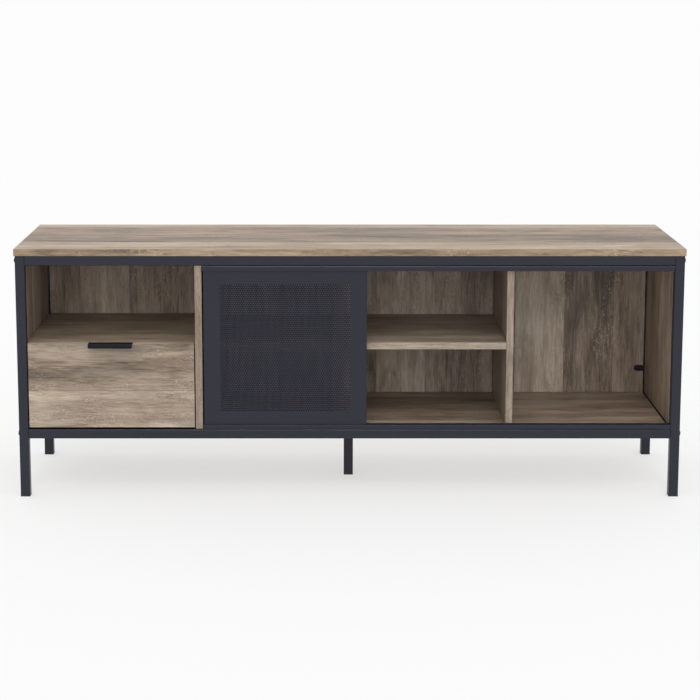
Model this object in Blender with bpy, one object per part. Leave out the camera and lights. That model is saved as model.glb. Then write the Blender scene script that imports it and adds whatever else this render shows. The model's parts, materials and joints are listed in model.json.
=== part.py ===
"""TV stand with a drawer and one sliding door, for a screen of about 60 inches.

A frame of square steel tube carries wood-grain boards. A drawer runs in the left bay under an open
cubby, and a steel door slides along the bays to its right. Lengths are in metres. The origin is on
the floor under the middle of the stand, +X is to the right, +Z is up, and the front faces -Y.
"""

import math

import bmesh
import bpy
from mathutils import Vector

# Overall sizes
FRAME_WIDTH = 1.520
FRAME_DEPTH = 0.396
FRAME_HEIGHT = 0.563  # floor to the underside of the top panel
GROUND_CLEARANCE = 0.1375  # floor to the underside of the bottom rails
TOP_OVERHANG_SIDE = 0.002
TOP_OVERHANG_FRONT = 0.003
TOP_OVERHANG_REAR = 0.007

# Bays, measured between the faces of the boards and legs beside them; the middle bay takes the rest
DRAWER_BAY_WIDTH = 0.385
DOOR_BAY_WIDTH = 0.305
RIGHT_BAY_WIDTH = 0.362

# Steel tube
TUBE = 0.022
TUBE_WALL = 0.0015
TUBE_CORNER = 0.002
RAIL_END_PLATE = 0.003
CENTRE_PLATE_SIZE = 0.070
CENTRE_PLATE_THICKNESS = 0.003

# Boards
TOP_THICKNESS = 0.016
BOARD = 0.016
EDGE_EASE = 0.0006
PANEL_PROUD = 0.001  # how far the bottom panel stands above the bottom rails
PANEL_SIDE_GAP = 0.0015
BACK_SIDE_GAP = 0.0005

# Shelves: height of each top face above the floor
CUBBY_SHELF_TOP = 0.3610
MIDDLE_SHELF_TOP = 0.3585

# Welded tabs
SUPPORT_TAB = Vector((0.040, 0.025, 0.003))  # along the rail, out from it, thickness
SUPPORT_TAB_SPAN = 0.620  # distance from the middle tab to each outer one
BACK_TAB = Vector((0.024, 0.002, 0.015))  # out from the leg, thickness, height
LOWER_BACK_TAB = 0.0625  # from the bottom rail to the middle of the lower tab
UPPER_BACK_TAB = 0.0500  # from the top rail to the middle of the upper tab
BACK_TAB_CORNER = 0.006
BACK_TAB_SETBACK = 0.0005  # tab's front face behind the leg's
BACK_TAB_HOLE_FROM_TIP = 0.0075

# Fasteners
BOLT_RADIUS = 0.003
BOLT_HEAD_RADIUS = 0.006
BOLT_HEAD_HEIGHT = 0.0027
BOLT_REACH = 0.008  # beyond the rail's end plate
SCREW_RADIUS = 0.00175
SCREW_HEAD_RADIUS = 0.0038
SCREW_HEAD_HEIGHT = 0.0022
SCREW_LENGTH = 0.013

# Foot glides
GLIDE_THICKNESS = 0.003
GLIDE_PLUG_HEIGHT = 0.010

# Door and its tracks
DOOR_WIDTH = 0.373
DOOR_THICKNESS = 0.012
DOOR_SHEET = 0.0015
DOOR_BEND = 0.002
DOOR_LEFT_GAP = 0.003  # closed door to the left divider
DOOR_RAISE = 0.0037  # door's bottom edge above the inside of the bottom track
DOOR_DROP = 0.0049  # door's top edge below the inside of the top track
TRACK_WALL = 0.0015
TRACK_BEND = 0.0022
TRACK_CLEARANCE = 0.0015  # between the door and each side of its track
TRACK_PROUD = 0.001  # how far the tracks stand in front of the rails
TOP_TRACK_HEIGHT = 0.0125
BOTTOM_TRACK_HEIGHT = 0.011
PAD_LENGTH = 0.030
PAD_INSET = 0.035  # door's side to the near end of each pad
PAD_CLEARANCE = 0.0006  # between a pad and each side of the track
TOP_PAD_THICKNESS = 0.0026

# Drawer
DRAWER_FRONT_SETBACK = 0.001
DRAWER_SIDE_GAP = 0.0025
DRAWER_BOTTOM_GAP = 0.0045
DRAWER_TOP_GAP = 0.0002  # front's top edge below the cubby shelf's top face
DRAWER_SHELF_GAP = 0.0013  # front's rear face to the cubby shelf
DRAWER_BOARD = 0.012
DRAWER_BASE = 0.006
DRAWER_BASE_RAISE = 0.016  # underside of the base above the front's bottom edge
DRAWER_BOX_DEPTH = 0.330
DRAWER_SIDE_HEIGHT = 0.132

# Drawer slides
SLIDE_WIDTH = 0.0125
SLIDE_HEIGHT = 0.045
SLIDE_LENGTH = 0.300
SLIDE_SHEET = 0.0012
SLIDE_BEND = 0.0015
SLIDE_CLEARANCE = 0.001
SLIDE_RAISE = 0.040  # underside of the slide above the drawer's base
SLIDE_OVERRUN = 0.004  # how far the fixed rail runs on behind the runner

# Drawer pull
PULL_LENGTH = 0.100
PULL_REACH = 0.020  # in front of the frame's front plane
PULL_SHEET = 0.002
PULL_LIP = 0.010
PULL_BEND = 0.002
PULL_CORNER = 0.0025  # lower corners of the lip
PULL_FIN_SETBACK = 0.0025  # drawer's front face to the fin in its top edge
PULL_FIN_DEPTH = 0.010

GAP = 0.0003  # between faces that touch

# Planes that follow from the sizes above
FRONT = PULL_REACH - (PULL_REACH + FRAME_DEPTH + TOP_OVERHANG_REAR) / 2
BACK = FRONT + FRAME_DEPTH
INNER = FRAME_WIDTH / 2 - TUBE  # inner faces of the legs
FRAME_TOP = FRAME_HEIGHT - GAP
TOP_RAIL = FRAME_TOP - TUBE
BOTTOM_RAIL = GROUND_CLEARANCE
BOTTOM_RAIL_TOP = BOTTOM_RAIL + TUBE
FLOOR = BOTTOM_RAIL_TOP + PANEL_PROUD
BEHIND_FRONT_RAIL = FRONT + TUBE + GAP
BEFORE_REAR_RAIL = BACK - TUBE - GAP
BACK_TAB_FRONT = BACK - TUBE + BACK_TAB_SETBACK
BACK_PANEL = BACK_TAB_FRONT + BACK_TAB.y + GAP
SCREW_SEAT = BACK_TAB_FRONT - GAP
BOARD_REAR = BACK_PANEL - GAP
SIDE_PANEL = INNER + (TUBE - BOARD) / 2  # inner faces of the side panels
LEFT_DIVIDER = -INNER + DRAWER_BAY_WIDTH
CENTRE_DIVIDER = LEFT_DIVIDER + BOARD + DOOR_BAY_WIDTH
RIGHT_DIVIDER = INNER - RIGHT_BAY_WIDTH - BOARD
TRACK_WIDTH = DOOR_THICKNESS + 2 * (TRACK_CLEARANCE + TRACK_WALL)
TRACK_FRONT = FRONT - TRACK_PROUD
TRACK_FLOOR = BOTTOM_RAIL_TOP + GAP + TRACK_WALL
TRACK_CEILING = TOP_RAIL - GAP - TRACK_WALL
DOOR_LEFT = LEFT_DIVIDER + BOARD + DOOR_LEFT_GAP
DOOR_FRONT = TRACK_FRONT + TRACK_WALL + TRACK_CLEARANCE
DOOR_BOTTOM = TRACK_FLOOR + DOOR_RAISE
DOOR_TOP = TRACK_CEILING - DOOR_DROP
DRAWER_FACE = FRONT + DRAWER_FRONT_SETBACK
DRAWER_BACK_FACE = DRAWER_FACE + BOARD
DRAWER_LEFT = -INNER + DRAWER_SIDE_GAP
DRAWER_RIGHT = LEFT_DIVIDER - DRAWER_SIDE_GAP
DRAWER_BOTTOM = BOTTOM_RAIL_TOP + DRAWER_BOTTOM_GAP
DRAWER_TOP = CUBBY_SHELF_TOP - DRAWER_TOP_GAP
BOX_LEFT = -SIDE_PANEL + GAP + SLIDE_WIDTH
BOX_RIGHT = LEFT_DIVIDER - GAP - SLIDE_WIDTH
BOX_BASE = DRAWER_BOTTOM + DRAWER_BASE_RAISE
BOX_FRONT = DRAWER_BACK_FACE + GAP
BOX_REAR = BOX_FRONT + DRAWER_BOX_DEPTH

ARC_STEPS = 3
ROUND_STEPS = 16
AXES = {"X": (1, 2, 0), "Y": (0, 2, 1), "Z": (0, 1, 2)}  # the outline's two directions, then its depth

# Colour, roughness and metallic value of each finish
FINISHES = {
    "wood_grain": ((0.33, 0.27, 0.21), 0.45, 0.0),
    "powder_coat": ((0.045, 0.045, 0.053), 0.42, 0.6),
    "black_plastic": ((0.02, 0.02, 0.02), 0.5, 0.0),
    "zinc": ((0.62, 0.62, 0.60), 0.35, 1.0),
    "grey_board": ((0.24, 0.22, 0.20), 0.6, 0.0),
}


def clear_scene():
    for item in list(bpy.data.objects):
        bpy.data.objects.remove(item, do_unlink=True)


def material_for(name, finish):
    colour, roughness, metallic = FINISHES[finish]
    material = bpy.data.materials.new(f"{name}_{finish}")
    material.use_nodes = True
    shader = material.node_tree.nodes["Principled BSDF"]
    shader.inputs["Base Color"].default_value = (*colour, 1.0)
    shader.inputs["Roughness"].default_value = roughness
    shader.inputs["Metallic"].default_value = metallic
    return material


def object_from(name, build, place=(0.0, 0.0, 0.0)):
    """An object at a place, from a mesh under construction that is drawn about that place."""
    mesh = bpy.data.meshes.new(name)
    bmesh.ops.recalc_face_normals(build, faces=build.faces[:])
    build.to_mesh(mesh)
    build.free()
    item = bpy.data.objects.new(name, mesh)
    item.location = place
    bpy.context.scene.collection.objects.link(item)
    return item


def give_finish(item, finish, parent=None):
    item.data.materials.append(material_for(item.name, finish))
    if parent is not None:
        item.parent = parent
        item.location = item.location - parent.location
    return item


def block(low, high):
    """A rectangular block about its own middle, and the place of that middle."""
    low, high = Vector(low), Vector(high)
    build = bmesh.new()
    bmesh.ops.create_cube(build, size=1.0)
    bmesh.ops.scale(build, vec=high - low, verts=build.verts[:])
    return build, (low + high) / 2


def rounded(corners):
    """Corner points with a radius each, turned into an outline whose corners are arcs."""
    outline = []
    for index, (point, radius) in enumerate(corners):
        point = Vector(point)
        to_last = (Vector(corners[index - 1][0]) - point).normalized()
        to_next = (Vector(corners[(index + 1) % len(corners)][0]) - point).normalized()
        if radius == 0:
            outline.append(point)
            continue
        half = to_last.angle(to_next) / 2
        centre = point + (to_last + to_next).normalized() * radius / math.sin(half)
        first = point + to_last * radius / math.tan(half) - centre
        last = point + to_next * radius / math.tan(half) - centre
        turn = first.angle_signed(last)
        for step in range(ARC_STEPS + 1):
            angle = -turn * step / ARC_STEPS
            spoke = Vector((
                first.x * math.cos(angle) - first.y * math.sin(angle),
                first.x * math.sin(angle) + first.y * math.cos(angle),
            ))
            outline.append(centre + spoke)
    return outline


def extrusion(outline, axis, start, end):
    """An outline drawn in the two directions across an axis, extruded along it."""
    across, up, along = AXES[axis]
    build = bmesh.new()
    ring = []
    for point in outline:
        place = [0.0, 0.0, 0.0]
        place[across], place[up], place[along] = point[0], point[1], start
        ring.append(build.verts.new(place))
    cap = build.faces.new(ring)
    moved = bmesh.ops.extrude_face_region(build, geom=[cap])["geom"]
    shift = [0.0, 0.0, 0.0]
    shift[along] = end - start
    top = [item for item in moved if isinstance(item, bmesh.types.BMVert)]
    bmesh.ops.translate(build, vec=shift, verts=top)
    return build


def turned(profile, axis, place, facing=1):
    """A profile of (radius, distance along the axis) pairs, turned into a closed solid."""
    across, up, along = AXES[axis]
    build = bmesh.new()
    rings = []
    for radius, distance in profile:
        ring = []
        for step in range(1 if radius == 0 else ROUND_STEPS):
            angle = 2 * math.pi * step / ROUND_STEPS
            point = [0.0, 0.0, 0.0]
            point[across] = place[across] + radius * math.cos(angle)
            point[up] = place[up] + radius * math.sin(angle)
            point[along] = place[along] + facing * distance
            ring.append(build.verts.new(point))
        rings.append(ring)
    for lower, upper in zip(rings, rings[1:]):
        for step in range(ROUND_STEPS):
            after = (step + 1) % ROUND_STEPS
            corners = [lower[step % len(lower)], lower[after % len(lower)]]
            corners += [upper[after % len(upper)], upper[step % len(upper)]]
            build.faces.new(list(dict.fromkeys(corners)))
    return build


def joined(builds):
    """Separate shapes in one mesh, for a cutter or a set of tabs."""
    whole = bmesh.new()
    for build in builds:
        mesh = bpy.data.meshes.new("shape")
        bmesh.ops.recalc_face_normals(build, faces=build.faces[:])
        build.to_mesh(mesh)
        build.free()
        whole.from_mesh(mesh)
        bpy.data.meshes.remove(mesh)
    return whole


def shape_with(item, operation, name, builds):
    """Cuts or adds shapes, which stay in the file as hidden wire guides."""
    guide = object_from(f"guide_{name}", joined(builds))
    guide.hide_render = True
    guide.display_type = "WIRE"
    change = item.modifiers.new(name, "BOOLEAN")
    change.operation = operation
    change.solver = "EXACT"
    change.object = guide


def box_at(low, high):
    """A block that is already in its place."""
    build, middle = block(low, high)
    bmesh.ops.translate(build, vec=middle, verts=build.verts[:])
    return build


def rod_at(radius, axis, place, length):
    """A round bar that starts at a place and runs along an axis, for a hole."""
    return turned([(0, 0), (radius, 0), (radius, length), (0, length)], axis, place)


def ease_edges(item):
    ease = item.modifiers.new("eased_edges", "BEVEL")
    ease.width = EDGE_EASE
    ease.segments = 2
    ease.limit_method = "ANGLE"


def board(name, low, high, finish="wood_grain", parent=None):
    item = object_from(name, *block(low, high))
    ease_edges(item)
    return give_finish(item, finish, parent)


def square_outline(middle, side, corner):
    half = side / 2
    corners = []
    for across, up in ((-1, -1), (1, -1), (1, 1), (-1, 1)):
        corners.append(((middle[0] + across * half, middle[1] + up * half), corner))
    return rounded(corners)


def tube(name, axis, middle, start, end, cavity_start, cavity_end):
    """A square tube with rounded corners along an axis, hollow between the cavity's two ends."""
    item = object_from(name, extrusion(square_outline(middle, TUBE, TUBE_CORNER), axis, start, end))
    hollow = square_outline(middle, TUBE - 2 * TUBE_WALL, 0)
    shape_with(item, "DIFFERENCE", f"{name}_cavity", [extrusion(hollow, axis, cavity_start, cavity_end)])
    return give_finish(item, "powder_coat")


def through_tube(name, axis, middle, start, end):
    """A square tube that is open at both ends."""
    return tube(name, axis, middle, start, end, start - TUBE, end + TUBE)


def leg(name, x, y):
    """A leg with a pair of bolt holes across it at each long rail."""
    item = through_tube(name, "Z", (x, y), GLIDE_THICKNESS + GAP, FRAME_TOP)
    holes = []
    for height in (BOTTOM_RAIL + TUBE / 2, TOP_RAIL + TUBE / 2):
        holes.append(rod_at(BOLT_RADIUS + GAP, "X", (x - TUBE, y, height), 2 * TUBE))
    shape_with(item, "DIFFERENCE", f"{name}_bolt_holes", holes)
    return item


def long_rail(name, y, bottom, tab_direction=0):
    """A rail from leg to leg with a drilled plate in each end, and tabs under the bottom panel."""
    end = INNER - GAP
    middle = (y, bottom + TUBE / 2)
    item = tube(name, "X", middle, -end, end, RAIL_END_PLATE - end, end - RAIL_END_PLATE)
    holes = []
    for start in (-end - TUBE, end - TUBE):
        holes.append(rod_at(BOLT_RADIUS + GAP, "X", (start, y, middle[1]), 2 * TUBE))
    shape_with(item, "DIFFERENCE", f"{name}_bolt_holes", holes)
    if tab_direction:
        near = y + tab_direction * (TUBE - TUBE_WALL) / 2
        far = y + tab_direction * (TUBE / 2 + SUPPORT_TAB.y)
        top = FLOOR - BOARD - GAP
        tabs = []
        for x in (-SUPPORT_TAB_SPAN, 0.0, SUPPORT_TAB_SPAN):
            low = (x - SUPPORT_TAB.x / 2, min(near, far), top - SUPPORT_TAB.z)
            tabs.append(box_at(low, (x + SUPPORT_TAB.x / 2, max(near, far), top)))
        shape_with(item, "UNION", f"{name}_tabs", tabs)


def back_tab_heights():
    return {"lower": BOTTOM_RAIL_TOP + LOWER_BACK_TAB, "upper": TOP_RAIL - UPPER_BACK_TAB}


def back_tab_hole(side):
    return side * (INNER - BACK_TAB.x + BACK_TAB_HOLE_FROM_TIP)


def rear_leg(name, side):
    """A rear leg with two drilled tabs on its inner face, which hold the back panel."""
    item = leg(name, side * (INNER + TUBE / 2), BACK - TUBE / 2)
    tip = side * (INNER - BACK_TAB.x)
    root = side * (INNER + TUBE_WALL)
    tabs = []
    holes = []
    for height in back_tab_heights().values():
        low, high = height - BACK_TAB.z / 2, height + BACK_TAB.z / 2
        outline = [((root, low), 0), ((tip, low), BACK_TAB_CORNER)]
        outline += [((tip, high), BACK_TAB_CORNER), ((root, high), 0)]
        tabs.append(extrusion(rounded(outline), "Y", BACK_TAB_FRONT, BACK_TAB_FRONT + BACK_TAB.y))
        place = (back_tab_hole(side), BACK_TAB_FRONT - TUBE, height)
        holes.append(rod_at(SCREW_RADIUS + GAP, "Y", place, 2 * TUBE))
    shape_with(item, "UNION", f"{name}_tabs", tabs)
    shape_with(item, "DIFFERENCE", f"{name}_tab_holes", holes)


def side_rail(name, side, bottom):
    middle = (side * (INNER + TUBE / 2), bottom + TUBE / 2)
    through_tube(name, "Y", middle, BEHIND_FRONT_RAIL, BEFORE_REAR_RAIL)


def glide(name, x, y):
    """A plastic cap under a tube, with a plug that fills the tube's end."""
    half = TUBE / 2
    build, middle = block((x - half, y - half, 0), (x + half, y + half, GLIDE_THICKNESS))
    upper = max(build.faces, key=lambda face: face.calc_center_median().z)
    plug = TUBE - 2 * (TUBE_WALL + GAP)
    bmesh.ops.inset_region(build, faces=[upper], thickness=(TUBE - plug) / 2, use_even_offset=True)
    raised = bmesh.ops.extrude_face_region(build, geom=[upper])["geom"]
    top = [item for item in raised if isinstance(item, bmesh.types.BMVert)]
    bmesh.ops.delete(build, geom=[upper], context="FACES")
    bmesh.ops.translate(build, vec=(0, 0, GLIDE_PLUG_HEIGHT), verts=top)
    give_finish(object_from(name, build, middle), "black_plastic")


def dome_fastener(name, axis, place, facing, shank, head, length, finish):
    """A round-headed bolt or screw; its head is seated at a place and its shank points inwards."""
    shank_radius, (head_radius, head_height) = shank, head
    profile = [(0, -length), (shank_radius, -length), (shank_radius, 0), (head_radius, 0)]
    for step in range(ARC_STEPS + 1):
        angle = math.pi / 2 * step / ARC_STEPS
        rise = 0.25 * head_height + 0.75 * head_height * math.sin(angle)
        profile.append((head_radius * math.cos(angle) if step < ARC_STEPS else 0, rise))
    item = object_from(name, turned(profile, axis, place, facing))
    item.data.shade_smooth()
    item.data.set_sharp_from_angle(angle=math.radians(40))
    return give_finish(item, finish)


def side_bolts():
    length = TUBE + 2 * GAP + RAIL_END_PLATE + BOLT_REACH
    for side_name, side in (("left", -1), ("right", 1)):
        for depth_name, y in (("front", FRONT + TUBE / 2), ("rear", BACK - TUBE / 2)):
            for rail_name, bottom in (("top", TOP_RAIL), ("bottom", BOTTOM_RAIL)):
                place = (side * (FRAME_WIDTH / 2 + GAP), y, bottom + TUBE / 2)
                name = f"{depth_name}_{rail_name}_bolt_{side_name}"
                head = (BOLT_HEAD_RADIUS, BOLT_HEAD_HEIGHT)
                dome_fastener(name, "X", place, side, BOLT_RADIUS, head, length, "powder_coat")


def back_screws():
    for side_name, side in (("left", -1), ("right", 1)):
        for level, height in back_tab_heights().items():
            place = (back_tab_hole(side), SCREW_SEAT, height)
            head = (SCREW_HEAD_RADIUS, SCREW_HEAD_HEIGHT)
            name = f"back_panel_screw_{side_name}_{level}"
            dome_fastener(name, "Y", place, -1, SCREW_RADIUS, head, SCREW_LENGTH, "powder_coat")


def frame():
    middle_x = INNER + TUBE / 2
    front_y = FRONT + TUBE / 2
    rear_y = BACK - TUBE / 2
    leg("front_leg_left", -middle_x, front_y)
    leg("front_leg_right", middle_x, front_y)
    rear_leg("rear_leg_left", -1)
    rear_leg("rear_leg_right", 1)
    long_rail("front_top_rail", front_y, TOP_RAIL)
    long_rail("front_bottom_rail", front_y, BOTTOM_RAIL, 1)
    long_rail("rear_top_rail", rear_y, TOP_RAIL)
    long_rail("rear_bottom_rail", rear_y, BOTTOM_RAIL, -1)
    for side_name, side in (("left", -1), ("right", 1)):
        side_rail(f"{side_name}_top_side_rail", side, TOP_RAIL)
        side_rail(f"{side_name}_bottom_side_rail", side, BOTTOM_RAIL)
        glide(f"front_{side_name}_glide", side * middle_x, front_y)
        glide(f"rear_{side_name}_glide", side * middle_x, rear_y)


def centre_leg():
    """The middle leg, with a plate that is screwed up into the bottom panel."""
    middle_y = (FRONT + BACK) / 2
    plate_top = FLOOR - BOARD - GAP
    plate_bottom = plate_top - CENTRE_PLATE_THICKNESS
    start = GLIDE_THICKNESS + GAP
    item = tube("centre_leg", "Z", (0, middle_y), start, plate_top, start - TUBE, plate_bottom)
    half = CENTRE_PLATE_SIZE / 2
    plate = box_at((-half, middle_y - half, plate_bottom), (half, middle_y + half, plate_top))
    shape_with(item, "UNION", "centre_leg_plate", [plate])
    glide("centre_glide", 0, middle_y)


def outer_boards():
    half = FRAME_WIDTH / 2 + TOP_OVERHANG_SIDE
    low = (-half, FRONT - TOP_OVERHANG_FRONT, FRAME_HEIGHT)
    board("top_panel", low, (half, BACK + TOP_OVERHANG_REAR, FRAME_HEIGHT + TOP_THICKNESS))
    edge = INNER - PANEL_SIDE_GAP
    low = (-edge, BEHIND_FRONT_RAIL, FLOOR - BOARD)
    board("bottom_panel", low, (edge, BEFORE_REAR_RAIL, FLOOR))
    for side_name, side in (("left", -1), ("right", 1)):
        faces = sorted((side * SIDE_PANEL, side * (SIDE_PANEL + BOARD)))
        low = (faces[0], BEHIND_FRONT_RAIL, BOTTOM_RAIL_TOP + GAP)
        board(f"{side_name}_side_panel", low, (faces[1], BEFORE_REAR_RAIL, TOP_RAIL - GAP))


def back_panels():
    """Three panels that meet behind the left and the right divider."""
    left_joint = LEFT_DIVIDER + BOARD / 2
    right_joint = RIGHT_DIVIDER + BOARD / 2
    edge = INNER - BACK_SIDE_GAP
    spans = {
        "left": (-edge, left_joint - GAP / 2),
        "middle": (left_joint + GAP / 2, right_joint - GAP / 2),
        "right": (right_joint + GAP / 2, edge),
    }
    for name, (start, end) in spans.items():
        low = (start, BACK_PANEL, BOTTOM_RAIL_TOP + GAP)
        item = board(f"back_panel_{name}", low, (end, BACK_PANEL + BOARD, TOP_RAIL - GAP))
        if name == "middle":
            continue
        side = -1 if name == "left" else 1
        holes = []
        for height in back_tab_heights().values():
            place = (back_tab_hole(side), SCREW_SEAT, height)
            holes.append(rod_at(SCREW_RADIUS + GAP, "Y", place, SCREW_LENGTH + GAP))
        shape_with(item, "DIFFERENCE", f"back_panel_{name}_holes", holes)


def divider(name, left, front):
    """An upright board, notched round the rear rail, and round the front one if it reaches that far."""
    bottom = FLOOR + GAP
    under_top = FRAME_HEIGHT - GAP
    under_rail = TOP_RAIL - GAP
    outline = [(front, bottom), (BOARD_REAR, bottom)]
    outline += [(BOARD_REAR, under_rail), (BEFORE_REAR_RAIL, under_rail)]
    outline += [(BEFORE_REAR_RAIL, under_top), (BEHIND_FRONT_RAIL, under_top)]
    if front < BEHIND_FRONT_RAIL:
        outline += [(BEHIND_FRONT_RAIL, under_rail), (front, under_rail)]
    item = object_from(name, extrusion(outline, "X", left, left + BOARD))
    ease_edges(item)
    give_finish(item, "wood_grain")


def inner_boards():
    divider("left_divider", LEFT_DIVIDER, FRONT + DRAWER_FRONT_SETBACK)
    divider("centre_divider", CENTRE_DIVIDER, BEHIND_FRONT_RAIL)
    divider("right_divider", RIGHT_DIVIDER, BEHIND_FRONT_RAIL)
    levels = (MIDDLE_SHELF_TOP - BOARD, MIDDLE_SHELF_TOP)
    for name, left, right in (
        ("door_bay_shelf", LEFT_DIVIDER + BOARD, CENTRE_DIVIDER),
        ("middle_shelf", CENTRE_DIVIDER + BOARD, RIGHT_DIVIDER),
    ):
        low = (left + GAP, BEHIND_FRONT_RAIL, levels[0])
        board(name, low, (right - GAP, BOARD_REAR, levels[1]))
    cubby_shelf()


def cubby_shelf():
    """The shelf over the drawer, notched round the left front and rear legs."""
    front = DRAWER_BACK_FACE + DRAWER_SHELF_GAP
    right = LEFT_DIVIDER - GAP
    beside_leg = -INNER + GAP
    beside_panel = -SIDE_PANEL + GAP
    outline = [(beside_leg, front), (right, front), (right, BOARD_REAR), (beside_leg, BOARD_REAR)]
    outline += [(beside_leg, BEFORE_REAR_RAIL), (beside_panel, BEFORE_REAR_RAIL)]
    outline += [(beside_panel, BEHIND_FRONT_RAIL), (beside_leg, BEHIND_FRONT_RAIL)]
    build = extrusion(outline, "Z", CUBBY_SHELF_TOP - BOARD, CUBBY_SHELF_TOP)
    item = object_from("cubby_shelf", build)
    ease_edges(item)
    give_finish(item, "wood_grain")


def channel_outline(near, far, base, rim, wall, bend):
    """A channel: a web at the base level, and two walls that reach the rim level."""
    up = 1 if rim > base else -1
    inner_bend = bend - wall
    corners = [((near, rim), 0), ((near, base), bend), ((far, base), bend), ((far, rim), 0)]
    corners += [((far - wall, rim), 0), ((far - wall, base + up * wall), inner_bend)]
    corners += [((near + wall, base + up * wall), inner_bend), ((near + wall, rim), 0)]
    return rounded(corners)


def tracks():
    start = LEFT_DIVIDER + BOARD + GAP
    end = INNER - GAP
    edges = (TRACK_FRONT, TRACK_FRONT + TRACK_WIDTH)
    for name, base, rim in (
        ("bottom_track", BOTTOM_RAIL_TOP + GAP, BOTTOM_RAIL_TOP + BOTTOM_TRACK_HEIGHT),
        ("top_track", TOP_RAIL - GAP, TOP_RAIL - TOP_TRACK_HEIGHT),
    ):
        outline = channel_outline(*edges, base, rim, TRACK_WALL, TRACK_BEND)
        give_finish(object_from(name, extrusion(outline, "X", start, end)), "powder_coat")


def rail_guide(name, place):
    """An empty on a sliding joint's axis, which carries the pieces that slide."""
    guide = bpy.data.objects.new(name, None)
    guide.location = place
    bpy.context.scene.collection.objects.link(guide)
    return guide


def door():
    """A door of folded sheet steel, open at the back, with a pad at each end of its two edges."""
    right = DOOR_LEFT + DOOR_WIDTH
    rear = DOOR_FRONT + DOOR_THICKNESS
    middle_y = DOOR_FRONT + DOOR_THICKNESS / 2
    carrier = rail_guide("door_slide", ((DOOR_LEFT + right) / 2, middle_y, DOOR_BOTTOM))
    build, middle = block((DOOR_LEFT, DOOR_FRONT, DOOR_BOTTOM), (right, rear, DOOR_TOP))
    folds = [edge for edge in build.edges if min(vert.co.y for vert in edge.verts) < 0]
    bmesh.ops.bevel(build, geom=folds, offset=DOOR_BEND, segments=ARC_STEPS, affect="EDGES", profile=0.5)
    item = object_from("door_panel", build, middle)
    low = Vector((DOOR_LEFT, DOOR_FRONT, DOOR_BOTTOM)) + Vector((1, 1, 1)) * DOOR_SHEET
    hollow = box_at(low, (right - DOOR_SHEET, rear + DOOR_THICKNESS, DOOR_TOP - DOOR_SHEET))
    shape_with(item, "DIFFERENCE", "door_panel_hollow", [hollow])
    give_finish(item, "powder_coat", carrier)
    pad_half = DOOR_THICKNESS / 2 + TRACK_CLEARANCE - PAD_CLEARANCE
    for side_name, start in (("left", DOOR_LEFT + PAD_INSET), ("right", right - PAD_INSET - PAD_LENGTH)):
        for level, bottom, top in (
            ("bottom", TRACK_FLOOR + GAP, DOOR_BOTTOM - GAP),
            ("top", DOOR_TOP + GAP, DOOR_TOP + GAP + TOP_PAD_THICKNESS),
        ):
            low = (start, middle_y - pad_half, bottom)
            high = (start + PAD_LENGTH, middle_y + pad_half, top)
            board(f"door_{level}_pad_{side_name}", low, high, "black_plastic", carrier)


def pull_outline():
    """The pull's section: a fin in the drawer's top edge, a plate over it and a lip in front."""
    top = DRAWER_TOP + GAP + PULL_SHEET
    tip = FRONT - PULL_REACH
    fin = DRAWER_FACE + PULL_FIN_SETBACK
    lip_end = top - PULL_LIP
    fin_end = DRAWER_TOP - PULL_FIN_DEPTH
    inner_bend = 0.0005
    corners = [((tip, top), PULL_BEND), ((tip, lip_end), 0), ((tip + PULL_SHEET, lip_end), 0)]
    corners += [((tip + PULL_SHEET, top - PULL_SHEET), inner_bend), ((fin, top - PULL_SHEET), 0)]
    corners += [((fin, fin_end), 0), ((fin + PULL_SHEET, fin_end), 0), ((fin + PULL_SHEET, top), PULL_BEND)]
    return rounded(corners)


def with_round_lip(build):
    """The pull with the two lower corners of its lip rounded off."""
    low = DRAWER_TOP + GAP + PULL_SHEET - PULL_LIP
    across = [edge for edge in build.edges if abs(edge.verts[0].co.x - edge.verts[1].co.x) < GAP]
    ends = [edge for edge in across if all(abs(vert.co.z - low) < GAP for vert in edge.verts)]
    bmesh.ops.bevel(build, geom=ends, offset=PULL_CORNER, segments=ARC_STEPS, affect="EDGES", profile=0.5)
    return build


def drawer_slides(carrier):
    """A fixed and a moving channel on each side, one nested in the other."""
    base = BOX_BASE + SLIDE_RAISE
    rear = BOX_REAR
    front = rear - SLIDE_LENGTH
    inset = SLIDE_SHEET + SLIDE_CLEARANCE
    for side_name, fixed, side in (("left", -SIDE_PANEL + GAP, 1), ("right", LEFT_DIVIDER - GAP, -1)):
        reach = fixed + side * (SLIDE_WIDTH - SLIDE_SHEET - 2 * GAP)
        drawer = fixed + side * (SLIDE_WIDTH - GAP)
        deep = fixed + side * (SLIDE_SHEET + 2 * SLIDE_CLEARANCE)
        outer = side_channel(fixed, reach, base, base + SLIDE_HEIGHT)
        inner = side_channel(drawer, deep, base + inset, base + SLIDE_HEIGHT - inset)
        fixed_shape = extrusion(outer, "Y", front, rear + SLIDE_OVERRUN)
        give_finish(object_from(f"slide_rail_{side_name}", fixed_shape), "zinc")
        runner = object_from(f"slide_runner_{side_name}", extrusion(inner, "Y", front, rear))
        give_finish(runner, "zinc", carrier)


def side_channel(base, rim, bottom, top):
    """A channel that lies on its side: a web at the base, and two walls that reach the rim."""
    outline = channel_outline(bottom, top, base, rim, SLIDE_SHEET, SLIDE_BEND)
    return [(point[1], point[0]) for point in outline]


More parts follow.
